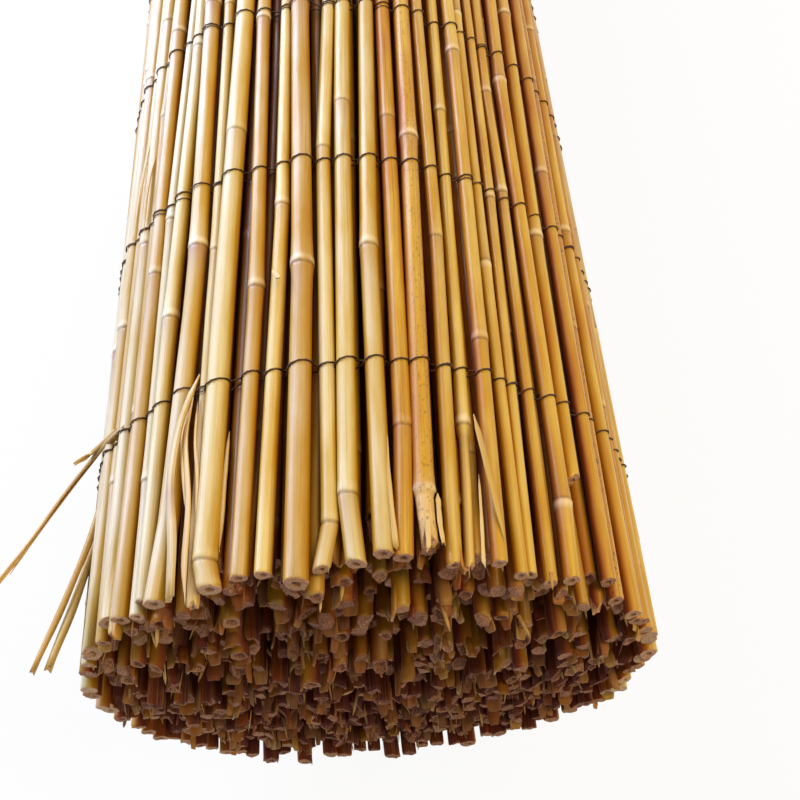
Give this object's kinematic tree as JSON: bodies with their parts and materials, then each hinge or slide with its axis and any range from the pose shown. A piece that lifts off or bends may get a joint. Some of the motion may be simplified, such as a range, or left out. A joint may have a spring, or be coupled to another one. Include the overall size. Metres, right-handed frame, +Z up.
{
  "type": "reed screening roll",
  "caption": "Roll of natural reed screening: peeled reeds stitched side by side with rows of thin wire and wound into a loose cylinder with ragged ends, lying on the floor.",
  "frame": {"origin": "on the floor, under the middle of the roll's axis", "axes": "+Y along the roll, the ragged end of the picture at -Y; +Z up"},
  "size_m": [0.2456, 1.0142, 0.2232],
  "materials": {
    "reed": "peeled dry common reed, satin skin, golden straw to pinkish brown",
    "sliver": "broken reed, fibrous and dull",
    "wire": "annealed steel wire, dark brown oxide"
  },
  "bodies": {
    "root": {"loose_reed_01": "reed", "loose_reed_02": "reed", "reeds_turn_01": "reed", "reeds_turn_02": "reed", "reeds_turn_03": "reed", "reeds_turn_04": "reed", "reeds_turn_05": "reed", "reeds_turn_06": "reed", "reeds_turn_07": "reed", "reeds_turn_08": "reed", "reeds_turn_09": "reed", "reeds_turn_10": "reed", "reeds_turn_11": "reed", "reeds_turn_12": "reed", "reeds_turn_13": "reed", "sliver_01": "sliver", "sliver_02": "sliver", "wire_row_01": "wire", "wire_row_02": "wire", "wire_row_03": "wire", "wire_row_04": "wire", "wire_row_05": "wire", "wire_row_06": "wire", "wire_row_07": "wire", "wire_row_08": "wire", "wire_row_09": "wire"}
  },
  "joints": []
}
